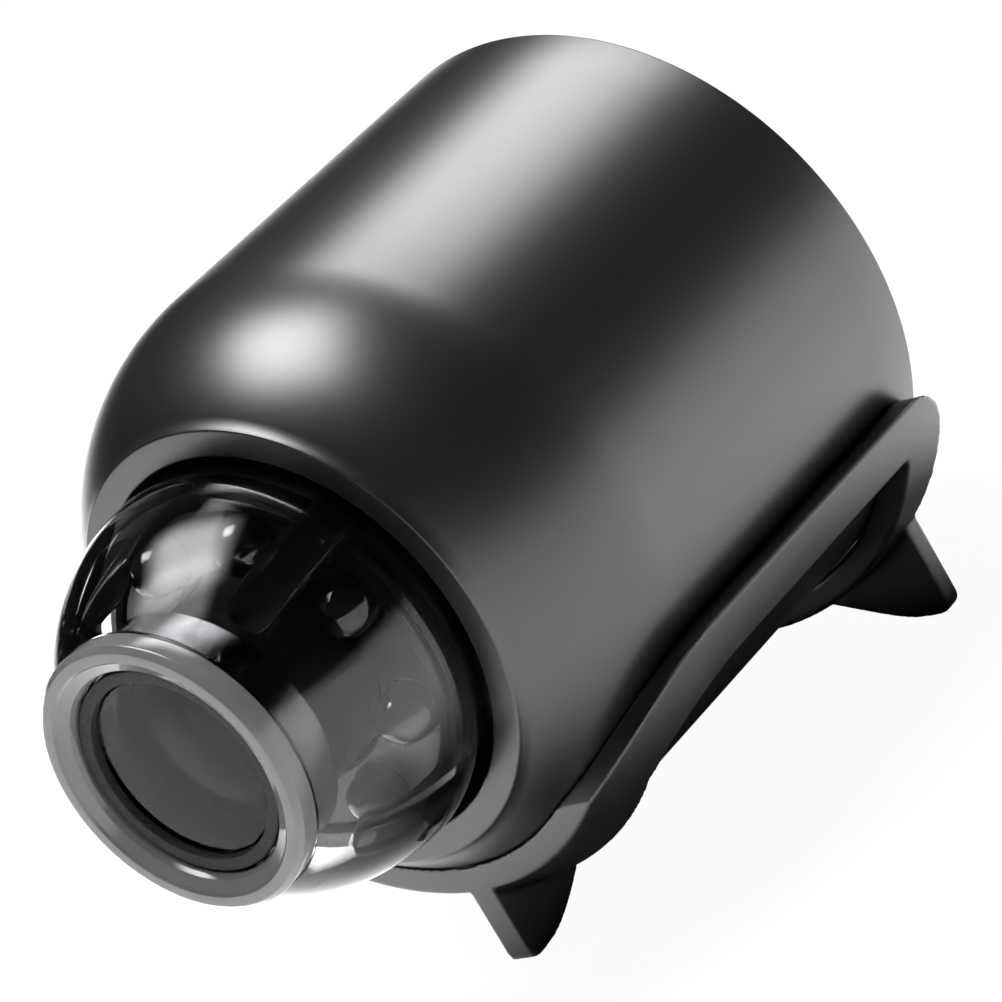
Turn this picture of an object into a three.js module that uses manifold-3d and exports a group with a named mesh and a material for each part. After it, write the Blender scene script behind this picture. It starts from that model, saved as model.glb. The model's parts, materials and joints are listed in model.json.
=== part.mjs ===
// Mini dash camera: a round camera body with a clear lens dome, lying in an open cradle on three fins.
// Millimetres, +Z up. The lens looks along -Y. The origin is on the ground, below the middle of the object.
// Most pieces are turned about the camera's axis, so a place along it is given as s, the distance
// forward from the rear edge of the housing, and a direction round it as an angle from straight down.

import * as THREE from "three";
import { mergeVertices } from "three/addons/utils/BufferGeometryUtils.js";
import Module from "manifold-3d";

const wasm = await Module();
wasm.setup();

// ---- driving dimensions ----
const BODY_R = 17; // outer radius of the housing
const LENGTH = 44; // rear edge of the housing to the front of the lens ring
const AXIS_HEIGHT = 20.8; // camera axis above the ground
const WALL = 1.6; // housing wall
const SHOULDER_S = 23.2; // where the straight side ends and the round shoulder begins
const SHOULDER_LONG = 11.3; // the shoulder's half axes: along the camera axis
const SHOULDER_DEEP = 9.54; // and across it
const RIM_S = 32.7; // flat front rim
const RIM_R = 12.9;
const MOUTH_R = 11.35; // opening in the rim that the dome stands in
const LIP = 2.3; // depth of the rim's inner lip

const COVER_S = 0.6; // rear cover, set in a little from the housing's edge
const COVER_T = 1.8;
const COVER_R = 15.2;
const SCREW_RING_R = 13.1;
const SCREW_ANGLES = [0, 120, 240];

const DOME_R = 11.2; // outer radius of the clear dome
const DOME_S = 34.5; // its centre
const DOME_WALL = 1.1;
const DOME_SKIRT_R = 11.0;
const RIB_ANGLES = [40, 130, 220, 310];
const RIB_W = 2.1;

const RING_R = 7.7; // ring round the lens front
const LENS_HEAD_R = 7.2;
const THREAD_R = 6.0; // M12 thread of the lens
const BEZEL_R = 5.85;
const GLASS_R = 5.1;

const PLATE_S = 33.5; // black plate that the infrared LEDs look through
const PLATE_R = 9.9;
const LED_COUNT = 8;
const LED_RING_R = 8.0;
const LED_R = 1.4;
const LED_FIRST_ANGLE = 20;

const CRADLE_GAP = 0.2; // between the housing and the cradle
const CRADLE_T = 1.4;
const CRADLE_FRONT_S = 30.6;
const RAIL_TOP_Z = -7.65; // heights are measured from the camera axis
const RAIL_LOW_Z = -10.45;
const BAND_W = 3.5; // width of the band across the rear
const REAR_FIN_T = 1.2;
const REAR_FIN_X = 10.65;
const FRONT_FIN_T = 1.6;
const GROUND_Z = -AXIS_HEIGHT;

const MAIN_BOARD_S = 9.0;
const BOARD_T = 1.2;
const MAIN_BOARD_R = 14.2;
const SENSOR_BOARD_S = 24.9;
const SENSOR_BOARD_R = 12.6;
const CARD_Z = 8.6;
const USB_Z = -6.6;
const FINE = 60; // facets round the large pieces
const MEDIUM = 36;
const SMALL = 12;

// ---- making and joining shapes ----
function radians(degrees) {
  return (degrees * Math.PI) / 180;
}

// A solid of revolution about the camera axis, from a closed outline of [radius, s] points.
function turned(outline, facets = MEDIUM) {
  const points = outline.map(([r, s]) => new THREE.Vector2(r, -s));
  if (THREE.ShapeUtils.area(points) < 0) points.reverse();
  const onAxis = points[0].x === 0 && points.at(-1).x === 0;
  if (!onAxis) points.push(points[0].clone());
  return new THREE.LatheGeometry(points, facets);
}

function disc(radius, s0, s1, facets = MEDIUM) {
  return turned([[0, s0], [radius, s0], [radius, s1], [0, s1]], facets);
}

function ring(inner, outer, s0, s1, facets = MEDIUM) {
  return turned([[inner, s0], [outer, s0], [outer, s1], [inner, s1]], facets);
}

// An outline drawn in (x, z), pulled along the camera axis from s0 to s1.
function alongAxis(shape, s0, s1) {
  const settings = { depth: s1 - s0, bevelEnabled: false, curveSegments: 5 };
  return new THREE.ExtrudeGeometry(shape, settings).rotateX(Math.PI / 2).translate(0, -s0, 0);
}

// An outline drawn in (s, z), pulled across from x0 to x1.
function across(shape, x0, x1) {
  const settings = { depth: x1 - x0, bevelEnabled: false, curveSegments: 8 };
  const turn = new THREE.Matrix4().makeBasis(
    new THREE.Vector3(0, -1, 0),
    new THREE.Vector3(0, 0, 1),
    new THREE.Vector3(-1, 0, 0),
  );
  return new THREE.ExtrudeGeometry(shape, settings).applyMatrix4(turn).translate(x1, 0, 0);
}

function roundedRect(x, z, width, height, radius) {
  const shape = new THREE.Shape();
  const [left, right, low, high] = [x - width / 2, x + width / 2, z - height / 2, z + height / 2];
  shape.moveTo(left + radius, low);
  shape.lineTo(right - radius, low);
  shape.absarc(right - radius, low + radius, radius, -Math.PI / 2, 0, false);
  shape.lineTo(right, high - radius);
  shape.absarc(right - radius, high - radius, radius, 0, Math.PI / 2, false);
  shape.lineTo(left + radius, high);
  shape.absarc(left + radius, high - radius, radius, Math.PI / 2, Math.PI, false);
  shape.lineTo(left, low + radius);
  shape.absarc(left + radius, low + radius, radius, Math.PI, Math.PI * 1.5, false);
  return shape;
}

function block(x, z, width, height, s0, s1, radius = 0) {
  if (radius > 0) return alongAxis(roundedRect(x, z, width, height, radius), s0, s1);
  return new THREE.BoxGeometry(width, s1 - s0, height).translate(x, -(s0 + s1) / 2, z);
}

// A round pin parallel to the camera axis.
function pin(x, z, radius, s0, s1, facets = SMALL) {
  return disc(radius, s0, s1, facets).translate(x, 0, z);
}

// The [x, z] place at a radius and an angle from straight down, positive towards +X.
function polar(radius, degrees) {
  const a = radians(degrees);
  return [radius * Math.sin(a), -radius * Math.cos(a)];
}

function solid(geometry) {
  const bare = geometry.clone();
  bare.deleteAttribute("normal");
  bare.deleteAttribute("uv");
  const merged = mergeVertices(bare, 1e-4);
  const mesh = new wasm.Mesh({
    numProp: 3,
    vertProperties: new Float32Array(merged.attributes.position.array),
    triVerts: new Uint32Array(merged.index.array),
  });
  return new wasm.Manifold(mesh);
}

function geometryOf(manifold) {
  const mesh = manifold.getMesh();
  const geometry = new THREE.BufferGeometry();
  geometry.setAttribute("position", new THREE.BufferAttribute(mesh.vertProperties, 3));
  geometry.setIndex(new THREE.BufferAttribute(mesh.triVerts, 1));
  const flat = geometry.toNonIndexed();
  flat.computeVertexNormals();
  return flat;
}

function joined(first, ...others) {
  return geometryOf(others.reduce((sum, g) => sum.add(solid(g)), solid(first)));
}

function cut(first, ...tools) {
  return geometryOf(tools.reduce((left, g) => left.subtract(solid(g)), solid(first)));
}

function shared(first, second) {
  return geometryOf(solid(first).intersect(solid(second)));
}

// ---- finishes ----
const FINISHES = {
  satinBlack: { color: 0x1b1b1c, roughness: 0.42 },
  matteBlack: { color: 0x0c0c0d, roughness: 0.6 },
  lensMetal: { color: 0x3a3b3d, roughness: 0.35, metalness: 0.6 },
  clear: { color: 0xdfe4e8, roughness: 0.05, transparent: true, opacity: 0.3 },
  ringClear: { color: 0x8b8e92, roughness: 0.12 },
  lensGlass: { color: 0x2c2e33, roughness: 0.04, transparent: true, opacity: 0.6 },
  ledClear: { color: 0xc9cdd2, roughness: 0.1, transparent: true, opacity: 0.6 },
  rubber: { color: 0x161616, roughness: 0.85 },
  steel: { color: 0xa8abb0, roughness: 0.35, metalness: 1 },
  brass: { color: 0xb58a45, roughness: 0.35, metalness: 1 },
  board: { color: 0x0f4a2c, roughness: 0.5 },
  blackBoard: { color: 0x101211, roughness: 0.5 },
  chip: { color: 0x15161a, roughness: 0.5 },
  battery: { color: 0x9fa5ab, roughness: 0.4, metalness: 0.4 },
  ribbon: { color: 0xa8621e, roughness: 0.4 },
  filter: { color: 0x6f8fb8, roughness: 0.1, transparent: true, opacity: 0.5 },
};

const camera = new THREE.Group();
const stand = new THREE.Group();
for (const group of [camera, stand]) group.position.set(0, LENGTH / 2, AXIS_HEIGHT);

function add(group, name, geometry, finish) {
  const mesh = new THREE.Mesh(geometry, new THREE.MeshStandardMaterial(FINISHES[finish]));
  mesh.name = name;
  group.add(mesh);
  return mesh;
}

// ---- housing ----
// Radius of the housing's outside at s: straight, then an elliptical shoulder.
function housingRadius(s) {
  const t = Math.max(0, (s - SHOULDER_S) / SHOULDER_LONG);
  return BODY_R - SHOULDER_DEEP * (1 - Math.sqrt(1 - t * t));
}

function shoulderLine(offset, s0, s1, steps) {
  const line = [];
  for (let i = 0; i <= steps; i += 1) {
    const s = s0 + ((s1 - s0) * i) / steps;
    line.push([housingRadius(s) + offset, s]);
  }
  return line;
}

function makeHousing() {
  const shell = turned(
    [
      [BODY_R - 0.15, 0],
      [BODY_R, 0.15],
      [BODY_R, SHOULDER_S],
      ...shoulderLine(0, SHOULDER_S + 1.5, RIM_S - 0.5, 7),
      [RIM_R, RIM_S - 0.12],
      [RIM_R - 0.2, RIM_S],
      [MOUTH_R, RIM_S],
      [MOUTH_R, RIM_S - LIP],
      ...shoulderLine(-WALL, SHOULDER_S + 2, RIM_S - LIP, 3).reverse(),
      [BODY_R - WALL, SHOULDER_S],
      [BODY_R - WALL, 0.2],
      [BODY_R - WALL + 0.2, 0],
    ],
    FINE,
  );
  const bossLow = COVER_S + COVER_T + 0.2;
  const bosses = SCREW_ANGLES.map((angle) => pin(...polar(SCREW_RING_R + 0.3, angle), 2.3, bossLow, 8));
  const pilots = SCREW_ANGLES.map((angle) => pin(...polar(SCREW_RING_R, angle), 0.95, bossLow - 0.1, 7.4));
  return cut(joined(shell, ...bosses), ...pilots);
}
add(camera, "main_housing", makeHousing(), "satinBlack");

// ---- rear cover and its controls ----
const SWITCH_X = -8;
const SWITCH_Z = 1.4;
const MODE_X = 8;
const MODE_Z = 1.4;
const RESET_X = 4;
const RESET_Z = 1.4;
const LIGHT_X = 0;
const LIGHT_Z = 4.6;
const MIC_X = -2.6;
const MIC_Z = 1.4;
const MODE_R = 1.7;
const RESET_R = 0.9;
const CONTROL_TRAVEL = 2;

function makeRearCover() {
  const face = COVER_S - 0.1;
  const back = COVER_S + COVER_T + 0.1;
  const plate = turned([
    [0, COVER_S],
    [COVER_R - 0.3, COVER_S],
    [COVER_R, COVER_S + 0.3],
    [COVER_R, COVER_S + COVER_T],
    [0, COVER_S + COVER_T],
  ], FINE);
  const screwHoles = SCREW_ANGLES.flatMap((angle) => [
    pin(...polar(SCREW_RING_R, angle), 1.1, face, back),
    pin(...polar(SCREW_RING_R, angle), 1.75, face, COVER_S + 1.1),
  ]);
  return cut(
    plate,
    ...screwHoles,
    block(0, USB_Z, 9.5, 3.7, face, back, 1.5),
    block(0, CARD_Z, 11.6, 1.5, face, back, 0.3),
    block(SWITCH_X, SWITCH_Z, 2.2 + CONTROL_TRAVEL, 1.8, face, back, 0.3),
    pin(MODE_X, MODE_Z, MODE_R + 0.2, face, back),
    pin(RESET_X, RESET_Z, RESET_R + 0.2, face, back),
    pin(LIGHT_X, LIGHT_Z, 0.9, face, back),
    pin(MIC_X, MIC_Z, 0.5, face, back),
  );
}
add(camera, "rear_cover", makeRearCover(), "matteBlack");

function makeScrew() {
  const body = turned([
    [0, COVER_S + 0.15],
    [1.4, COVER_S + 0.15],
    [1.6, COVER_S + 0.35],
    [1.6, COVER_S + 1.0],
    [0.8, COVER_S + 1.0],
    [0.8, 6.6],
    [0.3, 7.2],
    [0, 7.2],
  ], SMALL);
  const slotDeep = COVER_S + 0.65;
  return cut(
    body,
    block(0, 0, 1.7, 0.36, COVER_S, slotDeep),
    block(0, 0, 0.36, 1.7, COVER_S, slotDeep),
  );
}
SCREW_ANGLES.forEach((angle, i) => {
  const [x, z] = polar(SCREW_RING_R, angle);
  add(camera, `rear_cover_screw_${i + 1}`, makeScrew(), "steel").position.set(x, 0, z);
});

// A plunger with a collar behind the cover that keeps it in.
function makeButton(radius, x, z) {
  return turned([
    [0, 0.15],
    [radius - 0.2, 0.15],
    [radius, 0.35],
    [radius, COVER_S + COVER_T + 0.1],
    [radius + 0.6, COVER_S + COVER_T + 0.1],
    [radius + 0.6, COVER_S + COVER_T + 0.7],
    [0.6, COVER_S + COVER_T + 0.7],
    [0.6, 5.9],
    [0, 5.9],
  ], 16).translate(x, 0, z);
}

// A tact switch on the main board, with its own short plunger.
function makeTactSwitch(x, z) {
  return joined(block(x, z, 3.4, 3.4, 7.0, 8.95), pin(x, z, 0.7, 6.4, 7.05));
}
add(camera, "mode_button", makeButton(MODE_R, MODE_X, MODE_Z), "satinBlack");
add(camera, "mode_switch", makeTactSwitch(MODE_X, MODE_Z), "steel");
add(camera, "reset_button", makeButton(RESET_R, RESET_X, RESET_Z), "satinBlack");
add(camera, "reset_switch", makeTactSwitch(RESET_X, RESET_Z), "steel");

const SLIDE_X = SWITCH_X - CONTROL_TRAVEL / 2;
const slideKnob = joined(
  block(SLIDE_X, SWITCH_Z, 1.8, 1.4, 0.15, 5.6),
  block(SLIDE_X, SWITCH_Z, 1.8, 3.0, COVER_S + COVER_T + 0.1, COVER_S + COVER_T + 0.7),
);
add(camera, "power_slider", slideKnob, "satinBlack");
const slideSwitch = cut(
  block(SWITCH_X, SWITCH_Z, 7.0, 4.2, 4.6, 8.95),
  block(SWITCH_X, SWITCH_Z, 4.6, 1.9, 4.5, 6.4),
);
add(camera, "power_switch", slideSwitch, "steel");
add(camera, "status_light_pipe", pin(LIGHT_X, LIGHT_Z, 0.7, COVER_S, 7.6), "ledClear");
add(camera, "status_led", block(LIGHT_X, LIGHT_Z, 1.6, 0.8, 8.1, 8.95), "ledClear");
add(camera, "microphone", pin(MIC_X, MIC_Z, 1.7, 7.0, 8.95), "steel");

// ---- USB port, card and boards ----
function makeUsbPort() {
  const shell = block(0, USB_Z, 8.9, 3.2, 0.8, 8.95, 1.4);
  const hollow = block(0, USB_Z, 8.3, 2.6, 0.7, 7.2, 1.2);
  return joined(cut(shell, hollow), block(0, USB_Z, 6.6, 0.7, 1.6, 7.6));
}
add(camera, "usb_port", makeUsbPort(), "steel");

const CARD_LENGTH = 15;
const CARD_REAR_S = 0.2;
const cardSocket = cut(
  block(0, CARD_Z, 13.6, 2.6, 2.7, 16.6),
  block(0, CARD_Z, 11.6, 1.4, 2.6, 15.8),
);
add(camera, "card_socket", cardSocket, "steel");
const card = block(0, CARD_Z, 11, 0.8, CARD_REAR_S, CARD_REAR_S + CARD_LENGTH, 0);
add(camera, "memory_card", card, "matteBlack");

// The main board is a round board with a straight top edge that clears the card socket.
function makeMainBoard() {
  const board = disc(MAIN_BOARD_R, MAIN_BOARD_S, MAIN_BOARD_S + BOARD_T, FINE);
  return cut(board, block(0, 16.6, 40, 20, MAIN_BOARD_S - 1, MAIN_BOARD_S + BOARD_T + 1));
}
add(camera, "main_board", makeMainBoard(), "board");
const FRONT_OF_MAIN = MAIN_BOARD_S + BOARD_T + 0.05;
add(camera, "processor", block(-3, -9.3, 7, 4.6, FRONT_OF_MAIN, FRONT_OF_MAIN + 1), "chip");
add(camera, "wifi_module", block(5.4, -9.3, 8, 4.6, FRONT_OF_MAIN, FRONT_OF_MAIN + 1.6), "steel");
add(camera, "battery", block(0, -0.4, 17.4, 11.6, 12.4, 23.8, 2.2), "battery");
const boardSpan = [FRONT_OF_MAIN, SENSOR_BOARD_S - 0.05];
const SPACER_ANGLES = [-60, 60, 115];
SPACER_ANGLES.forEach((angle, i) => {
  const [x, z] = polar(SENSOR_BOARD_R - 1, angle);
  add(camera, `board_spacer_${i + 1}`, pin(x, z, 1.1, ...boardSpan), "brass");
});
const sensorBoard = disc(SENSOR_BOARD_R, SENSOR_BOARD_S, SENSOR_BOARD_S + BOARD_T);
add(camera, "sensor_board", sensorBoard, "blackBoard");
add(camera, "board_ribbon", block(0, -12.3, 5, 0.3, ...boardSpan), "ribbon");

// A curved aerial on film along the upper inside of the housing.
function makeAntenna() {
  const outline = new THREE.Shape();
  const [outer, inner] = [BODY_R - WALL - 0.3, BODY_R - WALL - 0.7];
  outline.absarc(0, 0, outer, radians(50), radians(130), false);
  outline.absarc(0, 0, inner, radians(130), radians(50), true);
  const settings = { depth: 6, bevelEnabled: false, curveSegments: 10 };
  return new THREE.ExtrudeGeometry(outline, settings).rotateX(Math.PI / 2).translate(0, -17, 0);
}
add(camera, "wifi_antenna", makeAntenna(), "ribbon");

// ---- lens ----
const SENSOR_FACE_S = SENSOR_BOARD_S + BOARD_T;
add(camera, "image_sensor", block(0, 0, 7, 6, SENSOR_FACE_S + 0.05, SENSOR_FACE_S + 1), "chip");
function makeLensHolder() {
  const low = SENSOR_FACE_S + 0.05;
  const base = block(0, 0, 15, 15, low, low + 1.6, 1.5);
  const collar = disc(6.9, low + 1.0, 31.6);
  return cut(joined(base, collar), disc(THREAD_R + 0.2, low - 1, 32));
}
add(camera, "lens_holder", makeLensHolder(), "matteBlack");
add(camera, "infrared_filter", disc(5.6, 27.6, 28.0, 20), "filter");

const HEAD_S = 39.8;
const HEAD_FRONT_S = 42.4;
const lensBarrel = turned([
  [4.7, 28.6],
  [THREAD_R - 0.3, 28.6],
  [THREAD_R, 28.9],
  [THREAD_R, HEAD_S],
  [LENS_HEAD_R - 0.2, HEAD_S],
  [LENS_HEAD_R, HEAD_S + 0.2],
  [LENS_HEAD_R, HEAD_FRONT_S],
  [5.3, HEAD_FRONT_S],
  [5.3, 40.2],
  [4.7, 40.2],
]);
add(camera, "lens_barrel", lensBarrel, "lensMetal");
const lensRing = turned([
  [BEZEL_R + 0.15, 43.2],
  [6.5, 43.75],
  [7.0, LENGTH],
  [7.35, LENGTH],
  [RING_R, LENGTH - 0.35],
  [RING_R, 42.6],
  [BEZEL_R + 0.15, 42.6],
], 40);
add(camera, "lens_ring", lensRing, "ringClear");
const lensBezel = ring(GLASS_R + 0.05, BEZEL_R, 42.6, 43.3);
add(camera, "lens_bezel", lensBezel, "matteBlack");

// A lens element: two shallow domed faces, bulging rearwards and forwards.
function makeElement(radius, s0, s1, rearBulge, frontBulge) {
  const outline = [];
  const steps = 3;
  for (let i = 0; i <= steps; i += 1) {
    const r = (radius * i) / steps;
    outline.push([r, s0 - rearBulge * (1 - (r / radius) ** 2)]);
  }
  for (let i = steps; i >= 0; i -= 1) {
    const r = (radius * i) / steps;
    outline.push([r, s1 + frontBulge * (1 - (r / radius) ** 2)]);
  }
  return turned(outline, 24);
}
add(camera, "front_lens", makeElement(GLASS_R - 0.1, 40.5, 42.5, 0, 0.5), "lensGlass");
add(camera, "middle_lens", makeElement(4.5, 35.0, 36.6, 0.4, 0.4), "lensGlass");
add(camera, "rear_lens", makeElement(4.5, 30.2, 31.6, 0.5, 0.3), "lensGlass");

// ---- infrared lights ----
const ledAngles = Array.from({ length: LED_COUNT }, (_, i) => LED_FIRST_ANGLE + (360 / LED_COUNT) * i);
function makeLedPlate() {
  const plate = turned([
    [THREAD_R + 0.2, PLATE_S],
    [PLATE_R, PLATE_S],
    [PLATE_R, PLATE_S + 0.5],
    [PLATE_R - 0.3, PLATE_S + 0.9],
    [THREAD_R + 0.2, PLATE_S + 0.9],
  ]);
  const holes = ledAngles.map((a) => pin(...polar(LED_RING_R, a), LED_R + 0.12, PLATE_S - 0.2, PLATE_S + 1.1));
  return cut(plate, ...holes);
}
add(camera, "led_plate", makeLedPlate(), "matteBlack");
add(camera, "led_board", ring(THREAD_R + 0.2, 9.8, 31.8, 32.7), "blackBoard");

function makeLed() {
  const outline = [[0, 32.8], [LED_R, 32.8], [LED_R, 35.2]];
  const steps = 3;
  for (let i = 1; i <= steps; i += 1) {
    const a = (Math.PI / 2) * (i / steps);
    outline.push([i === steps ? 0 : LED_R * Math.cos(a), 35.2 + LED_R * Math.sin(a)]);
  }
  return turned(outline, 10);
}
ledAngles.forEach((angle, i) => {
  const [x, z] = polar(LED_RING_R, angle);
  add(camera, `infrared_led_${i + 1}`, makeLed(), "ledClear").position.set(x, 0, z);
});

// ---- clear dome and how it is held ----
function makeDome() {
  const inner = DOME_R - DOME_WALL;
  const mouth = 7.75;
  const outside = [];
  const inside = [];
  const steps = 7;
  const outerStop = Math.asin(mouth / DOME_R);
  const innerStop = Math.asin(mouth / inner);
  for (let i = 0; i <= steps; i += 1) {
    const a = Math.PI / 2 + ((outerStop - Math.PI / 2) * i) / steps;
    const b = Math.PI / 2 + ((innerStop - Math.PI / 2) * i) / steps;
    outside.push([DOME_R * Math.sin(a), DOME_S + DOME_R * Math.cos(a)]);
    inside.push([inner * Math.sin(b), DOME_S + inner * Math.cos(b)]);
  }
  return turned([
    [inner, 28.2],
    [13.2, 28.2],
    [13.2, 29.4],
    [DOME_SKIRT_R, 29.4],
    [DOME_SKIRT_R, 33.2],
    ...outside,
    ...inside.reverse(),
  ], 48);
}
// A light guard inside the dome: a bar that follows its inner face at one angle.
function makeRib(angle) {
  const bar = block(0, 9.2, RIB_W, 4.2, DOME_S + 0.2, DOME_S + 6.6);
  const band = turned([
    [8.7, DOME_S],
    [10.25, DOME_S],
    [9.9, DOME_S + 2.6],
    [8.9, DOME_S + 5.1],
    [7.9, DOME_S + 6.5],
    [7.3, DOME_S + 6.1],
    [8.1, DOME_S + 3.6],
  ], 48);
  return shared(band, bar.rotateY(-radians(angle + 180)));
}
const dome = joined(makeDome(), ...RIB_ANGLES.map(makeRib));
add(camera, "clear_dome", dome, "clear");

function makeSeal(radius, section, s) {
  const outline = Array.from({ length: 6 }, (_, i) => {
    const a = (i * Math.PI) / 3;
    return [radius + section * Math.cos(a), s + section * Math.sin(a)];
  });
  return turned(outline, 28);
}
add(camera, "dome_seal", makeSeal(12.1, 0.4, 29.9), "rubber");
const retainer = cut(
  ring(11.2, 14.0, 26.4, 27.9),
  block(0, 13.2, 3, 3, 26, 27.2),
  block(0, -13.2, 3, 3, 26, 27.2),
);
add(camera, "dome_retainer", retainer, "matteBlack");

// ---- cradle ----
// Seen from the side: the rails' top edge, round at the rear, sweeping down to the front face.
function cradleSide() {
  const corner = 3.0;
  const shape = new THREE.Shape();
  shape.moveTo(0, GROUND_Z);
  shape.lineTo(0, RAIL_TOP_Z - corner);
  shape.absarc(corner, RAIL_TOP_Z - corner, corner, Math.PI, Math.PI / 2, true);
  shape.lineTo(23.4, RAIL_TOP_Z);
  shape.bezierCurveTo(26.2, RAIL_TOP_Z, 29.3, -9.2, CRADLE_FRONT_S, -12.4);
  shape.lineTo(CRADLE_FRONT_S, GROUND_Z);
  return shape;
}

// The opening under the rails, between the rear band and the front band.
function cradleWindow() {
  const corner = 0.5;
  const shape = new THREE.Shape();
  shape.moveTo(BAND_W, GROUND_Z);
  shape.lineTo(BAND_W, RAIL_LOW_Z - corner);
  shape.absarc(BAND_W + corner, RAIL_LOW_Z - corner, corner, Math.PI, Math.PI / 2, true);
  shape.lineTo(21.0, RAIL_LOW_Z);
  shape.bezierCurveTo(24.4, RAIL_LOW_Z, 26.4, -11.2, 27.6, -13.4);
  shape.lineTo(27.6, GROUND_Z);
  return shape;
}

function frontFinSide() {
  const root = -17.6;
  const shape = new THREE.Shape();
  shape.moveTo(CRADLE_FRONT_S, root + 2);
  shape.lineTo(CRADLE_FRONT_S, GROUND_Z + 0.5);
  shape.absarc(CRADLE_FRONT_S - 0.5, GROUND_Z + 0.5, 0.5, 0, -Math.PI / 2, true);
  shape.lineTo(29.3, GROUND_Z);
  shape.bezierCurveTo(27.6, GROUND_Z, 25.6, -19.6, 23.9, -18.5);
  shape.lineTo(23.4, root);
  return shape;
}

function rearFinFront() {
  const shape = new THREE.Shape();
  shape.moveTo(REAR_FIN_X, -14.4);
  shape.lineTo(REAR_FIN_X, GROUND_Z + 0.8);
  shape.absarc(REAR_FIN_X - 0.8, GROUND_Z + 0.8, 0.8, 0, -Math.PI / 2, true);
  shape.lineTo(REAR_FIN_X - 1.8, GROUND_Z);
  shape.bezierCurveTo(7.0, GROUND_Z, 4.6, -19.4, 1.6, -18.4);
  shape.lineTo(1.6, -17.6);
  shape.lineTo(5.6, -17.0);
  return shape;
}

function makeCradle() {
  const near = CRADLE_GAP;
  const far = CRADLE_GAP + CRADLE_T;
  const sleeve = turned([
    [BODY_R + near, 0],
    [BODY_R + far, 0],
    ...shoulderLine(far, SHOULDER_S + 1, CRADLE_FRONT_S, 5),
    ...shoulderLine(near, SHOULDER_S + 1, CRADLE_FRONT_S, 5).reverse(),
  ], 72);
  const halfWidth = BODY_R + 4;
  const tongue = block(0, -18, 4, 8, 22.6, 28);
  const window = cut(across(cradleWindow(), -halfWidth, halfWidth), tongue);
  const frame = cut(shared(sleeve, across(cradleSide(), -halfWidth, halfWidth)), window);
  const frontFin = across(frontFinSide(), -FRONT_FIN_T / 2, FRONT_FIN_T / 2);
  const rearFin = alongAxis(rearFinFront(), 0, REAR_FIN_T);
  const otherFin = geometryOf(solid(rearFin)).rotateZ(Math.PI).translate(0, -REAR_FIN_T, 0);
  const bore = disc(BODY_R + near, -1, 15, 72);
  return cut(joined(frame, frontFin, rearFin, otherFin), bore);
}
add(stand, "cradle", makeCradle(), "satinBlack");

const dashCamera = new THREE.Group();
dashCamera.add(camera, stand);

export default dashCamera;
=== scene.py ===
import json
import math

import bmesh
import bpy
from mathutils import Matrix, Vector
from mathutils.geometry import tessellate_polygon


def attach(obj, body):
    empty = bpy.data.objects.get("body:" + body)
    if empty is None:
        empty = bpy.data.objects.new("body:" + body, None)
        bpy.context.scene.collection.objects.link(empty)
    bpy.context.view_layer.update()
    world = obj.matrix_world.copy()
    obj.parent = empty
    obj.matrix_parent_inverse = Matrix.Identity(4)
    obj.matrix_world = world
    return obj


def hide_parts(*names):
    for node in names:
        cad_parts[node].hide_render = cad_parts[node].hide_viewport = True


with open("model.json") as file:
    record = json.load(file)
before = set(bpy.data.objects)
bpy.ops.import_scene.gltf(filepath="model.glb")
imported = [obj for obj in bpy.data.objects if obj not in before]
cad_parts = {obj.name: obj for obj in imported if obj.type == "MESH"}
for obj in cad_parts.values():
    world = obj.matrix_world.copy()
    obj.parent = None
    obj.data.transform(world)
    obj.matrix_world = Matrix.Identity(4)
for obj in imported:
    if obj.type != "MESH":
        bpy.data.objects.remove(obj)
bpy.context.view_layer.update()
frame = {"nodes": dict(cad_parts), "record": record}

# Measures are in millimetres: s is the distance forward from the housing's rear edge, and x and z
# are measured from the camera's axis. Round pieces are outlines of (radius, s) turned about it.
# _R is a radius, _T a thickness, _W a width, _S a place along s, _X and _Z places across.
MM = 0.001
HALF_LENGTH = 22.0
AXIS_HEIGHT = 20.8
BODY_R = 17.0
WALL = 1.6
SHOULDER_S = 23.2
SHOULDER_LONG = 11.3
SHOULDER_DEEP = 9.54
RIM_S = 32.7
RIM_R = 12.9
MOUTH_R = 11.35
COVER_R = 15.2
COVER_S = 0.6
COVER_T = 1.8
SCREW_RING_R = 13.1
SCREW_ANGLES = (0, 120, 240)
DOME_R = 11.2
DOME_S = 34.5
DOME_WALL = 1.1
DOME_MOUTH_R = 7.75
GUARD_ANGLES = (40, 130, 220, 310)
PLATE_R = 9.9
PLATE_BORE_R = 6.2
PLATE_S = 33.5
PLATE_T = 0.9
LED_RING_R = 8.0
LED_R = 1.4
LED_BASE_S = 32.8
LED_DOME_S = 35.2
LED_ANGLES = [20 + 45 * i for i in range(8)]
CRADLE_GAP = 0.2
CRADLE_SEEN_GAP = 0.08
CRADLE_T = 1.4
CRADLE_FRONT_S = 30.6
RAIL_TOP_Z = -7.65
RAIL_LOW_Z = -10.45
BAND_W = 3.5
REAR_FIN_X = 10.65
REAR_FIN_T = 1.2
FRONT_FIN_T = 1.6
CRADLE_VOXEL = 0.11
GROUND_Z = -AXIS_HEIGHT


def place(x, s, z):
    """A point given in the millimetre terms above, as metres in the frame's own axes."""
    return Vector((x * MM, (HALF_LENGTH - s) * MM, (z + AXIS_HEIGHT) * MM))


def polar(radius, degrees):
    """The (x, z) place at a radius and an angle from straight down, positive towards +X."""
    a = math.radians(degrees)
    return radius * math.sin(a), -radius * math.cos(a)


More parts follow.
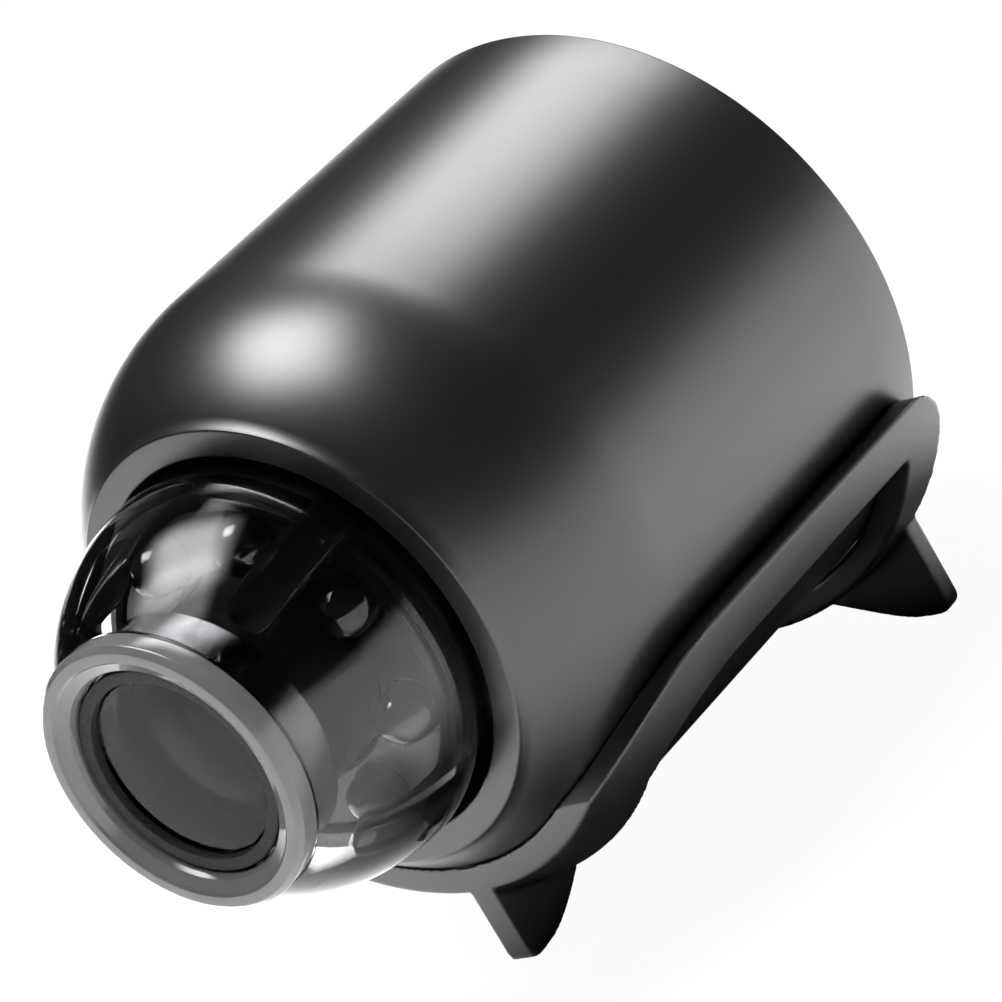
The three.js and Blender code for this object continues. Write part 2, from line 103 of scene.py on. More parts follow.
# ---- materials ----
class Look:
    """A node material with a Principled shader, built up with procedural detail."""

    def __init__(self, name, **sockets):
        self.material = bpy.data.materials.new(name)
        self.material.use_nodes = True
        self.nodes = self.material.node_tree.nodes
        self.links = self.material.node_tree.links
        self.shader = self.nodes["Principled BSDF"]
        self.coords = self.nodes.new("ShaderNodeTexCoord").outputs["Object"]
        for socket, value in sockets.items():
            self.shader.inputs[socket.replace("_", " ")].default_value = value

    def noise(self, size_mm, detail=2.0, stretch=None):
        """Noise with features of about that size, in millimetres, from 0 to 1."""
        node = self.nodes.new("ShaderNodeTexNoise")
        node.inputs["Scale"].default_value = 1.0 / (size_mm * MM)
        node.inputs["Detail"].default_value = detail
        coords = self.coords
        if stretch:
            mapping = self.nodes.new("ShaderNodeMapping")
            mapping.inputs["Scale"].default_value = stretch
            self.links.new(coords, mapping.inputs["Vector"])
            coords = mapping.outputs["Vector"]
        self.links.new(coords, node.inputs["Vector"])
        return node.outputs["Fac"]

    def spread(self, value, low, high, start=0.3, end=0.7):
        """A value that runs from start to end, mapped to run from low to high."""
        node = self.nodes.new("ShaderNodeMapRange")
        for name, number in (("From Min", start), ("From Max", end), ("To Min", low), ("To Max", high)):
            node.inputs[name].default_value = number
        self.links.new(value, node.inputs["Value"])
        return node.outputs["Result"]

    def blended(self, fac, first, second):
        node = self.nodes.new("ShaderNodeMix")
        node.data_type = "RGBA"
        node.inputs["A"].default_value = (*first, 1.0)
        node.inputs["B"].default_value = (*second, 1.0)
        self.links.new(fac, node.inputs["Factor"])
        return node.outputs["Result"]

    def roughness(self, low, high, size_mm, stretch=None):
        value = self.spread(self.noise(size_mm, 3.0, stretch), low, high)
        self.links.new(value, self.shader.inputs["Roughness"])
        return self

    def colour(self, first, second, size_mm, stretch=None):
        fac = self.spread(self.noise(size_mm, 3.0, stretch), 0.0, 1.0)
        self.links.new(self.blended(fac, first, second), self.shader.inputs["Base Color"])
        return self

    def bump(self, size_mm, height_mm, strength=1.0, stretch=None, detail=2.0):
        node = self.nodes.new("ShaderNodeBump")
        node.inputs["Strength"].default_value = strength
        node.inputs["Distance"].default_value = height_mm * MM
        self.links.new(self.noise(size_mm, detail, stretch), node.inputs["Height"])
        chained = self.shader.inputs["Normal"]
        if chained.is_linked:
            self.links.new(chained.links[0].from_socket, node.inputs["Normal"])
        self.links.new(node.outputs["Normal"], chained)
        return self

    def worn_edges(self, colour, amount=0.35):
        """Convex edges rubbed a little lighter, in patches."""
        pointy = self.nodes.new("ShaderNodeNewGeometry").outputs["Pointiness"]
        edge = self.spread(pointy, 0.0, amount, 0.53, 0.6)
        patchy = self.nodes.new("ShaderNodeMath")
        patchy.operation = "MULTIPLY"
        self.links.new(edge, patchy.inputs[0])
        self.links.new(self.spread(self.noise(1.5, 3.0), 0.2, 1.0), patchy.inputs[1])
        mix = self.nodes.new("ShaderNodeMix")
        mix.data_type = "RGBA"
        base = self.shader.inputs["Base Color"]
        self.links.new(base.links[0].from_socket, mix.inputs["A"])
        mix.inputs["B"].default_value = (*colour, 1.0)
        self.links.new(patchy.outputs[0], mix.inputs["Factor"])
        self.links.new(mix.outputs["Result"], base)
        return self


def satin(name, shade, rough=(0.30, 0.36), grain=0.0035):
    """Moulded black plastic with a fine spark-eroded grain."""
    look = Look(name).colour((shade,) * 3, (shade * 1.35,) * 3, 0.9)
    look.roughness(*rough, 0.15).bump(0.11, grain * 0.6, 0.5).bump(0.05, grain * 0.3, 0.3)
    return look.worn_edges((shade * 3,) * 3, 0.2)


def metal(name, colour, rough, stretch=None):
    """Bare or plated metal with a faint, uneven polish."""
    look = Look(name, Metallic=1.0).colour(colour, [c * 0.82 for c in colour], 0.8, stretch)
    return look.roughness(*rough, 0.3, stretch).bump(0.12, 0.001, 0.4, stretch)


LOOKS = {
    "housing_plastic": satin("moulded_satin_black", 0.004, (0.31, 0.345)),
    "cradle_plastic": satin("moulded_satin_black_stand", 0.004, (0.31, 0.35)),
    "cover_plastic": satin("moulded_matte_black", 0.012, (0.42, 0.52), 0.006),
    "inner_plastic": Look("inner_black")
    .colour((0.003,) * 3, (0.005,) * 3, 1.2)
    .roughness(0.27, 0.33, 1.5)
    .bump(1.6, 0.003, 0.3),
    "bezel_plastic": Look("grained_bezel", Specular_IOR_Level=0.08)
    .colour((0.012,) * 3, (0.026,) * 3, 0.12)
    .roughness(0.5, 0.7, 0.15)
    .bump(0.1, 0.012, 0.7),
    # Dark matte foam, also the finish of the ring of painted shade between the LED plate and the dome.
    "gasket_foam": Look("gasket_foam", Specular_IOR_Level=0.1)
    .colour((0.002,) * 3, (0.004,) * 3, 0.3)
    .roughness(0.8, 0.95, 0.2)
    .bump(0.2, 0.03, 0.6),
    "guard_plastic": Look("polished_black_guard", IOR=1.55)
    .colour((0.002,) * 3, (0.005,) * 3, 0.5)
    .roughness(0.03, 0.09, 0.4),
    "button_plastic": satin("button_black", 0.02, (0.3, 0.38)),
    "card_plastic": satin("card_black", 0.014, (0.4, 0.5)),
    "dome_clear": Look("smoky_dome_acrylic", Transmission_Weight=1.0, IOR=1.27)
    .colour((0.745, 0.745, 0.755), (0.785, 0.785, 0.79), 3.0)
    .roughness(0.0, 0.02, 2.5),
    "ring_clear": Look("polished_smoky_ring", IOR=1.36)
    .colour((0.078, 0.078, 0.081), (0.090, 0.090, 0.093), 2.5)
    .roughness(0.03, 0.07, 0.6),
    "lens_glass": Look("coated_lens_glass", Transmission_Weight=1.0, IOR=1.18)
    .colour((0.30, 0.31, 0.33), (0.32, 0.33, 0.35), 2.0)
    .roughness(0.0, 0.004, 1.2),
    "filter_glass": Look("infrared_filter_glass", Transmission_Weight=0.8)
    .colour((0.35, 0.55, 0.75), (0.30, 0.48, 0.70), 1.5)
    .roughness(0.01, 0.04, 1.0),
    "led_clear": Look("smoked_epoxy", IOR=1.5)
    .colour((0.004, 0.004, 0.005), (0.008, 0.007, 0.008), 0.8)
    .roughness(0.02, 0.06, 0.5),
    "light_pipe": Look("frosted_light_pipe", Transmission_Weight=0.6)
    .colour((0.75, 0.78, 0.8), (0.85, 0.87, 0.88), 0.5)
    .roughness(0.25, 0.4, 0.3),
    "lens_metal": Look("black_anodised", Metallic=1.0)
    .colour((0.072, 0.072, 0.075), (0.086, 0.086, 0.089), 0.5)
    .roughness(0.15, 0.19, 0.8)
    .bump(0.5, 0.0008, 0.3),
    "thread_black": Look("matte_black_thread", Specular_IOR_Level=0.06)
    .colour((0.003,) * 3, (0.006,) * 3, 0.5)
    .roughness(0.35, 0.45, 0.4)
    .bump(0.4, 0.001, 0.3),
    "seal_rubber": Look("seal_rubber")
    .colour((0.01,) * 3, (0.018,) * 3, 0.5)
    .roughness(0.6, 0.8, 0.4),
    "steel": metal("plated_steel", (0.17, 0.17, 0.175), (0.24, 0.34)),
    "brass": metal("turned_brass", (0.78, 0.58, 0.28), (0.2, 0.35), (1, 12, 1)),
    "circuit_board": Look("solder_mask")
    .colour((0.008, 0.07, 0.028), (0.012, 0.11, 0.045), 0.8)
    .roughness(0.25, 0.42, 0.6)
    .bump(0.5, 0.01, 0.3),
    "black_board": Look("black_solder_mask")
    .colour((0.003,) * 3, (0.006,) * 3, 0.8)
    .roughness(0.35, 0.5, 0.6)
    .bump(0.5, 0.01, 0.3),
    "chip": satin("moulded_chip", 0.015, (0.45, 0.6), 0.004),
    "battery_foil": metal("battery_foil", (0.66, 0.67, 0.69), (0.22, 0.42)),
    "ribbon_film": Look("amber_film")
    .colour((0.30, 0.12, 0.02), (0.42, 0.19, 0.04), 1.2)
    .roughness(0.2, 0.35, 1.0),
    "gold": metal("gold_contacts", (0.88, 0.66, 0.28), (0.15, 0.25)),
}


# ---- making meshes ----
def finished(name, mesh, look, body, stands_for=(), sharp_degrees=38):
    """Puts a mesh into the scene as a piece that rides on a body."""
    obj = bpy.data.objects.new(name, mesh)
    bpy.context.scene.collection.objects.link(obj)
    mesh.shade_smooth()
    mesh.set_sharp_from_angle(angle=math.radians(sharp_degrees))
    mesh.materials.clear()
    mesh.materials.append(LOOKS[look].material)
    if stands_for:
        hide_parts(*([stands_for] if isinstance(stands_for, str) else stands_for))
    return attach(obj, body)


def mesh_from(build, name="mesh"):
    """A mesh from a function that fills a bmesh, with its faces turned outwards."""
    bm = bmesh.new()
    build(bm)
    bmesh.ops.recalc_face_normals(bm, faces=bm.faces)
    mesh = bpy.data.meshes.new(name)
    bm.to_mesh(mesh)
    bm.free()
    return mesh


def rounded(points, steps=4):
    """An outline of (r, s) or (r, s, radius) points, with each corner that has a radius rounded."""
    outline = []
    for i, point in enumerate(points):
        corner = Vector(point[:2])
        if len(point) < 3:
            outline.append(tuple(corner))
            continue
        before = Vector(points[i - 1][:2]) - corner
        after = Vector(points[(i + 1) % len(points)][:2]) - corner
        half = before.angle(after) / 2
        reach = min(point[2] / math.tan(half), before.length * 0.49, after.length * 0.49)
        start = corner + before.normalized() * reach
        end = corner + after.normalized() * reach
        for k in range(steps + 1):
            t = k / steps
            outline.append(tuple(start * (1 - t) ** 2 + corner * 2 * t * (1 - t) + end * t**2))
    return outline


def lathe_into(bm, outline, segments, x=0.0, z=0.0):
    """Turns an outline about an axis parallel to the camera's. An end on the axis becomes a pole."""
    rings = []
    for r, s in outline:
        if r < 1e-9:
            rings.append([bm.verts.new(place(x, s, z))])
            continue
        steps = (2 * math.pi * k / segments for k in range(segments))
        rings.append([bm.verts.new(place(x + r * math.sin(a), s, z - r * math.cos(a))) for a in steps])
    open_ends = len(rings[0]) == 1 and len(rings[-1]) == 1
    pairs = list(zip(rings, rings[1:])) + ([] if open_ends else [(rings[-1], rings[0])])
    for first, second in pairs:
        for k in range(segments):
            n = (k + 1) % segments
            around = ((first, k), (second, k), (second, n), (first, n))
            unique = list(dict.fromkeys(ring[i % len(ring)] for ring, i in around))
            if len(unique) > 2:
                bm.faces.new(unique)


def lathe(outline, segments=128, x=0.0, z=0.0):
    return mesh_from(lambda bm: lathe_into(bm, outline, segments, x, z))


def rounded_rect(width, height, radius, x=0.0, z=0.0, steps=6):
    """The corner points of a rounded rectangle, anticlockwise."""
    points = []
    for quarter, (sx, sz) in enumerate(((1, -1), (1, 1), (-1, 1), (-1, -1))):
        cx, cz = x + sx * (width / 2 - radius), z + sz * (height / 2 - radius)
        for k in range(steps + 1):
            a = math.radians(-90 + 90 * quarter + 90 * k / steps)
            points.append((cx + radius * math.cos(a), cz + radius * math.sin(a)))
    return points


def circle(radius, x=0.0, z=0.0, steps=48):
    turns = (2 * math.pi * k / steps for k in range(steps))
    return [(x + radius * math.cos(a), z + radius * math.sin(a)) for a in turns]


def inset(loop, amount):
    """A closed anticlockwise loop moved inwards, or outwards where the amount is negative."""
    moved = []
    for i, point in enumerate(loop):
        a, b, c = Vector(loop[i - 1]), Vector(point), Vector(loop[(i + 1) % len(loop)])
        first, second = (b - a).normalized(), (c - b).normalized()
        normals = Vector((-first.y, first.x)), Vector((-second.y, second.x))
        middle = (normals[0] + normals[1]).normalized()
        moved.append(tuple(b + middle * amount / max(0.3, middle.dot(normals[0]))))
    return moved


def slab_into(bm, outer, holes, s0, s1, bevel, steps=3):
    """A plate of that outline and holes between s0 and s1, with every edge rounded."""
    loops = [(outer, 1)] + [(hole, -1) for hole in holes]
    caps = []
    for loop, side in loops:
        rows = []
        for k in range(steps + 1):
            a = math.pi / 2 * k / steps
            offset, depth = bevel * (1 - math.sin(a)), bevel * (1 - math.cos(a))
            rows.append((inset(loop, side * offset), s0 + depth))
        for k in range(steps, -1, -1):
            a = math.pi / 2 * k / steps
            offset, depth = bevel * (1 - math.sin(a)), bevel * (1 - math.cos(a))
            rows.append((inset(loop, side * offset), s1 - depth))
        rings = [[bm.verts.new(place(x, s, z)) for x, z in points] for points, s in rows]
        for first, second in zip(rings, rings[1:]):
            for k in range(len(loop)):
                n = (k + 1) % len(loop)
                bm.faces.new((first[k], second[k], second[n], first[n]))
        caps.append((rings[0], rings[-1]))
    for end in (0, 1):
        verts = [v for cap in caps for v in cap[end]]
        flat = [[Vector((v.co.x, v.co.z, 0)) for v in cap[end]] for cap in caps]
        for triangle in tessellate_polygon(flat):
            corners = [verts[i] for i in triangle]
            if len(set(corners)) == 3 and not bm.faces.get(corners):
                bm.faces.new(corners)


def slab(outer, holes, s0, s1, bevel, steps=3):
    return mesh_from(lambda bm: slab_into(bm, outer, holes, s0, s1, bevel, steps))


def prism(points, place_point, depths):
    """A closed prism: the outline's points at each of two depths, through place_point(point, depth)."""

    def build(bm):
        ends = [[bm.verts.new(place_point(p, d)) for p in points] for d in depths]
        for k in range(len(points)):
            n = (k + 1) % len(points)
            bm.faces.new((ends[0][k], ends[0][n], ends[1][n], ends[1][k]))
        bm.faces.new(ends[0])
        bm.faces.new(ends[1])

    return mesh_from(build)


def scratch(mesh):
    """A passing object that carries modifiers."""
    obj = bpy.data.objects.new("scratch", mesh)
    bpy.context.scene.collection.objects.link(obj)
    return obj


def applied(obj):
    """The object's mesh with its modifiers applied; the object is removed."""
    graph = bpy.context.evaluated_depsgraph_get()
    mesh = bpy.data.meshes.new_from_object(obj.evaluated_get(graph))
    bpy.data.objects.remove(obj)
    return mesh


def combined(mesh, *steps):
    """The mesh after boolean steps of (operation, other mesh)."""
    for operation, other in steps:
        obj, tool = scratch(mesh), scratch(other)
        modifier = obj.modifiers.new("boolean", "BOOLEAN")
        modifier.operation = operation
        modifier.solver = "EXACT"
        modifier.object = tool
        mesh = applied(obj)
        bpy.data.objects.remove(tool)
    return mesh


# ---- housing ----
def housing_radius(s):
    """The body's outer radius: a cylinder with an elliptical shoulder in front."""
    t = min(1.0, max(0.0, (s - SHOULDER_S) / SHOULDER_LONG))
    return BODY_R - SHOULDER_DEEP * (1 - math.sqrt(1 - t * t))


def shoulder_line(offset, s0, s1, steps):
    places = (s0 + (s1 - s0) * k / steps for k in range(steps + 1))
    return [(housing_radius(s) + offset, s) for s in places]


LIP_S = RIM_S - 2.3
housing_outline = rounded(
    [
        (BODY_R, 0.0, 0.16),
        *((BODY_R, s) for s in (3.0, 8.0, 14.0, 19.0, SHOULDER_S)),
        *shoulder_line(0, SHOULDER_S + 0.6, RIM_S - 0.25, 26),
        (RIM_R - 0.02, RIM_S, 0.16),
        (MOUTH_R, RIM_S, 0.14),
        (MOUTH_R, LIP_S),
        *shoulder_line(-WALL, LIP_S, SHOULDER_S + 1, 8),
        (BODY_R - WALL, SHOULDER_S),
        (BODY_R - WALL, 0.0, 0.2),
    ],
    5,
)
finished("housing_shell", lathe(housing_outline, 256), "housing_plastic", "camera", "main_housing")

# ---- rear cover ----
# Below a plate's first bevel step in degrees, so that its faces shade flat.
PLATE_SHARP = 14
USB_Z = -6.6
CARD_Z = 8.6
CONTROL_Z = 1.4
SWITCH_X = -8.0
MODE_X = 8.0
RESET_X = 4.0
LIGHT_Z = 4.6
MIC_X = -2.6
cover_holes = [
    circle(1.75, *polar(SCREW_RING_R, angle), steps=32) for angle in SCREW_ANGLES
] + [
    rounded_rect(9.5, 3.7, 1.5, 0, USB_Z),
    rounded_rect(11.6, 1.5, 0.3, 0, CARD_Z),
    rounded_rect(4.2, 1.8, 0.3, SWITCH_X, CONTROL_Z),
    circle(1.9, MODE_X, CONTROL_Z),
    circle(1.1, RESET_X, CONTROL_Z, 32),
    circle(0.9, 0, LIGHT_Z, 32),
    circle(0.5, MIC_X, CONTROL_Z, 24),
]
cover = slab(circle(COVER_R, steps=160), cover_holes, COVER_S, COVER_S + COVER_T, 0.12)
finished("rear_cover_plate", cover, "cover_plastic", "camera", "rear_cover", sharp_degrees=PLATE_SHARP)


def make_screw(index, angle):
    x, z = polar(SCREW_RING_R, angle)
    head = lathe(
        rounded(
            [
                (0, COVER_S + 0.15),
                (1.6, COVER_S + 0.15, 0.22),
                (1.6, COVER_S + 1.0),
                (0.8, COVER_S + 1.0),
                (0.8, 6.6),
                (0.3, 7.2),
                (0, 7.2),
            ]
        ),
        48,
        x,
        z,
    )
    slots = [
        slab(rounded_rect(w, h, 0.12, x, z, 2), [], COVER_S - 0.4, COVER_S + 0.65, 0.02, 1)
        for w, h in ((1.75, 0.38), (0.38, 1.75))
    ]
    mesh = combined(head, *(("DIFFERENCE", slot) for slot in slots))
    finished(f"cover_screw_{index}", mesh, "steel", "camera", f"rear_cover_screw_{index}")


for index, angle in enumerate(SCREW_ANGLES, 1):
    make_screw(index, angle)


def make_button(name, node, body, radius, x):
    face = 0.15
    outline = rounded(
        [
            (0, face + 0.08),
            (radius * 0.62, face + 0.06),
            (radius * 0.7, face, 0.05),
            (radius, face, 0.16),
            (radius, COVER_S + COVER_T + 0.1),
            (radius + 0.6, COVER_S + COVER_T + 0.1),
            (radius + 0.6, COVER_S + COVER_T + 0.7),
            (0.6, COVER_S + COVER_T + 0.7),
            (0.6, 5.9),
            (0, 5.9),
        ]
    )
    finished(name, lathe(outline, 48, x, CONTROL_Z), "button_plastic", body, node)


make_button("mode_button_cap", "mode_button", "mode_key", 1.7, MODE_X)
make_button("reset_button_cap", "reset_button", "reset_key", 0.9, RESET_X)


def slider_into(bm):
    """The power slider: a block with grip ridges across its face and a collar behind the cover."""
    x = SWITCH_X - 1.0
    slab_into(bm, rounded_rect(1.8, 1.4, 0.2, x, CONTROL_Z, 3), [], 0.35, 5.6, 0.06)
    for k in range(4):
        ridge = rounded_rect(0.24, 1.3, 0.08, x - 0.6 + 0.4 * k, CONTROL_Z, 3)
        slab_into(bm, ridge, [], 0.15, 0.5, 0.05)
    slab_into(bm, rounded_rect(1.8, 3.0, 0.2, x, CONTROL_Z, 3), [], 2.5, 3.1, 0.05)


finished("power_slider_knob", mesh_from(slider_into), "button_plastic", "power_knob", "power_slider")
pipe = lathe(rounded([(0, COVER_S - 0.1), (0.7, COVER_S, 0.3), (0.7, 7.6), (0, 7.6)]), 32, 0, LIGHT_Z)
finished("status_light_window", pipe, "light_pipe", "camera", "status_light_pipe")


def usb_shell_into(bm):
    shell = rounded_rect(8.9, 3.2, 1.4, 0, USB_Z)
    hollow = rounded_rect(8.3, 2.6, 1.2, 0, USB_Z)
    slab_into(bm, shell, [hollow], 0.8, 8.9, 0.08)
    slab_into(bm, inset(hollow, 0.02), [], 7.2, 8.8, 0.02, 1)


def usb_contacts_into(bm):
    for k in range(12):
        for side in (-1, 1):
            pad = rounded_rect(0.28, 0.05, 0.015, -2.75 + 0.5 * k, USB_Z + side * 0.355, 1)
            slab_into(bm, pad, [], 1.9, 5.2, 0.008, 1)


finished("usb_port_shell", mesh_from(usb_shell_into), "steel", "camera", "usb_port")
tongue = slab(rounded_rect(6.6, 0.7, 0.2, 0, USB_Z, 3), [], 1.6, 7.3, 0.08)
finished("usb_port_tongue", tongue, "inner_plastic", "camera")
finished("usb_port_contacts", mesh_from(usb_contacts_into), "gold", "camera")


def card_into(bm):
    """The memory card, with the raised lip on its end that a fingernail pulls."""
    slab_into(bm, rounded_rect(11.0, 0.7, 0.1, 0, CARD_Z - 0.03, 3), [], 0.2, 15.2, 0.04)
    slab_into(bm, rounded_rect(10.6, 0.36, 0.12, 0, CARD_Z + 0.24, 3), [], 0.24, 1.1, 0.06)


finished("memory_card_body", mesh_from(card_into), "card_plastic", "card", "memory_card")

# ---- lens ----
HEAD_S = 39.8
HEAD_FRONT_S = 42.4
thread = []
for k in range(20):
    s = 34.6 + 0.25 * k
    thread.append((6.0 if k % 2 else 5.93, s))
barrel_outline = [(4.7, 28.6), (5.7, 28.6), (6.0, 28.9), *thread, (5.8, HEAD_S), (4.7, HEAD_S)]
head_outline = rounded(
    [
        (7.2, HEAD_S, 0.15),
        (7.2, HEAD_FRONT_S, 0.12),
        (5.3, HEAD_FRONT_S, 0.05),
        (5.3, HEAD_S + 0.4),
        (4.7, HEAD_S + 0.4),
        (4.7, HEAD_S, 0.05),
    ],
    3,
)
finished("lens_barrel_head", lathe(head_outline, 160), "lens_metal", "camera", "lens_barrel")
barrel = lathe(barrel_outline, 160)
finished("lens_barrel_thread", barrel, "thread_black", "camera")
ring_outline = rounded(
    [
        (6.0, 43.3, 0.1),
        (6.14, 43.58, 0.12),
        (6.72, 43.86, 0.12),
        (6.86, 44.0, 0.08),
        (7.42, 44.0, 0.16),
        (7.7, 43.7, 0.2),
        (7.7, 42.6, 0.12),
        (6.0, 42.6, 0.1),
    ],
    5,
)
finished("lens_front_ring", lathe(ring_outline, 192), "ring_clear", "camera", "lens_ring")
bezel_outline = rounded(
    [(5.15, 43.16, 0.06), (5.85, 43.2, 0.08), (5.85, 42.6), (5.15, 42.6)], 3
)
bezel = lathe(bezel_outline, 160)
finished("lens_front_bezel", bezel, "bezel_plastic", "camera", "lens_bezel")


def lens_element(radius, s0, s1, rear_bulge, front_bulge, steps=14):
    """A lens between s0 and s1 at its edge, whose faces stand out by the bulges in the middle."""
    outline = [(radius * k / steps, s0 - rear_bulge * (1 - (k / steps) ** 2)) for k in range(steps + 1)]
    outline += [
        (radius * k / steps, s1 + front_bulge * (1 - (k / steps) ** 2)) for k in range(steps, -1, -1)
    ]
    return lathe(outline, 96)


for which, measures in (
    ("front", (5.0, 40.5, 42.75, -0.9, 0.12)),
    ("middle", (4.5, 35.0, 36.6, 0.4, 0.4)),
    ("rear", (4.5, 30.2, 31.6, 0.5, 0.3)),
):
    element = lens_element(*measures)
    finished(f"{which}_lens_element", element, "lens_glass", "camera", f"{which}_lens")

# ---- infrared lights ----
plate_holes = [circle(LED_R + 0.12, *polar(LED_RING_R, a), steps=40) for a in LED_ANGLES]
plate_holes.append(circle(PLATE_BORE_R, steps=96))
plate = slab(circle(PLATE_R, steps=144), plate_holes, PLATE_S, PLATE_S + PLATE_T, 0.16)
finished("led_plate_disc", plate, "inner_plastic", "camera", "led_plate", sharp_degrees=PLATE_SHARP)
# A dark, matte ring over the plate's outer edge: painted shade, standing for the shade in the gap
# between the LED plate and the dome.
gap_shade_ring_outline = rounded(
    [(9.35, 34.2, 0.05), (9.35, 34.62, 0.12), (10.0, 34.62, 0.12), (10.0, 34.2, 0.05)], 3
)
finished("dome_gap_shade_ring", lathe(gap_shade_ring_outline, 144), "gasket_foam", "camera")


def make_led(index, angle):
    x, z = polar(LED_RING_R, angle)
    turns = (math.pi / 2 * k / 8 for k in range(8))
    dome = [(LED_R * math.cos(a), LED_DOME_S + LED_R * math.sin(a)) for a in turns]
    base = [(0, LED_BASE_S), (LED_R, LED_BASE_S, 0.1)]
    bulb = lathe(rounded([*base, *dome, (0, LED_DOME_S + LED_R)], 2), 40, x, z)
    finished(f"infrared_led_{index}_lens", bulb, "led_clear", "camera", f"infrared_led_{index}")


for index, angle in enumerate(LED_ANGLES, 1):
    make_led(index, angle)

# ---- clear dome ----
def dome_arc(radius, mouth, steps):
    """The dome's curve in (r, s) from its widest place to its mouth."""
    stop = math.asin(mouth / radius)
    turns = (math.pi / 2 + (stop - math.pi / 2) * k / steps for k in range(steps + 1))
    return [(radius * math.sin(a), DOME_S + radius * math.cos(a)) for a in turns]


def dome_inside(steps=30):
    """The inner face: the wall thins towards the mouth, so that its cut edge is narrow."""
    points = []
    for r, s in dome_arc(DOME_R, DOME_MOUTH_R, steps):
        t = min(1.0, (s - DOME_S) / 8.0)
        wall = DOME_WALL - 0.85 * t * t
        scale = (DOME_R - wall) / DOME_R
        points.append((max(r * scale, DOME_MOUTH_R - 0.12), DOME_S + (s - DOME_S) * scale))
    return points


dome_outline = [
    *rounded([(10.1, 28.2, 0.1), (13.2, 28.2, 0.1), (13.2, 29.4, 0.1), (11.0, 29.4), (11.0, 33.4)], 3),
    *dome_arc(DOME_R, DOME_MOUTH_R, 30),
    *dome_inside()[::-1],
]
dome_shell = lathe(dome_outline, 192)
finished("clear_dome_shell", dome_shell, "dome_clear", "camera", "clear_dome", sharp_degrees=50)


# A light guard's cross-section: places across its half width, and whether they are on its face.
GUARD_SECTION = ((-1, 1), (-0.72, 1), (-0.5, 0.6), (0.5, 0.6), (0.72, 1), (1, 1), (1, 0), (-1, 0))
GUARD_W = 2.3
GUARD_INSET = 0.3
GUARD_REACH = (101, 54)


def guard_into(bm, angle, along=28):
    """A light guard: a grooved bar moulded into the dome's wall, with a rounded nose."""
    a = math.radians(angle)
    sideways = Vector((math.cos(a), 0, math.sin(a)))
    outwards = Vector((math.sin(a), 0, -math.cos(a)))
    top_r = DOME_R - GUARD_INSET
    start, stop = map(math.radians, GUARD_REACH)
    rings = []
    for i in range(along + 1):
        t = i / along
        lat = start + (stop - start) * t
        nose = math.sqrt(max(0.0, 1 - max(0.0, (t - 0.9) / 0.1) ** 2)) * 0.97 + 0.03
        depth = (1.7 - 0.8 * t) * nose
        half = GUARD_W / 2 * nose
        ring = []
        for side, level in GUARD_SECTION:
            r = top_r - depth * (1 - level)
            middle = outwards * (r * math.sin(lat)) + sideways * (half * side)
            s = DOME_S + r * math.cos(lat)
            ring.append(bm.verts.new(place(middle.x, s, middle.z)))
        rings.append(ring)
    for first, second in zip(rings, rings[1:]):
        for k in range(len(first)):
            n = (k + 1) % len(first)
            bm.faces.new((first[k], second[k], second[n], first[n]))
    bm.faces.new(rings[0])
    bm.faces.new(rings[-1])


def make_guard(index, angle):
    obj = scratch(mesh_from(lambda bm: guard_into(bm, angle)))
    modifier = obj.modifiers.new("bevel", "BEVEL")
    modifier.width = 0.15 * MM
    modifier.segments = 3
    modifier.angle_limit = math.radians(35)
    finished(f"light_guard_{index}", applied(obj), "guard_plastic", "camera")


for index, angle in enumerate(GUARD_ANGLES, 1):
    make_guard(index, angle)

# ---- cradle ----
def arc(cx, cz, radius, start, end, steps=8):
    """Points on a circle from one angle to another, in degrees."""
    turns = (math.radians(start + (end - start) * k / steps) for k in range(steps + 1))
    return [(cx + radius * math.cos(a), cz + radius * math.sin(a)) for a in turns]


def bezier(p0, p1, p2, p3, steps=16):
    p0, p1, p2, p3 = map(Vector, (p0, p1, p2, p3))
    points = []
    for k in range(steps + 1):
        t = k / steps
        u = 1 - t
        points.append(tuple(p0 * u**3 + p1 * 3 * u * u * t + p2 * 3 * u * t * t + p3 * t**3))
    return points


def across_point(point, x):
    """For outlines in (s, z), drawn as seen from the side."""
    return place(x, *point)


def along_point(point, s):
    """For outlines in (x, z), drawn as seen from behind."""
    return place(point[0], s, point[1])


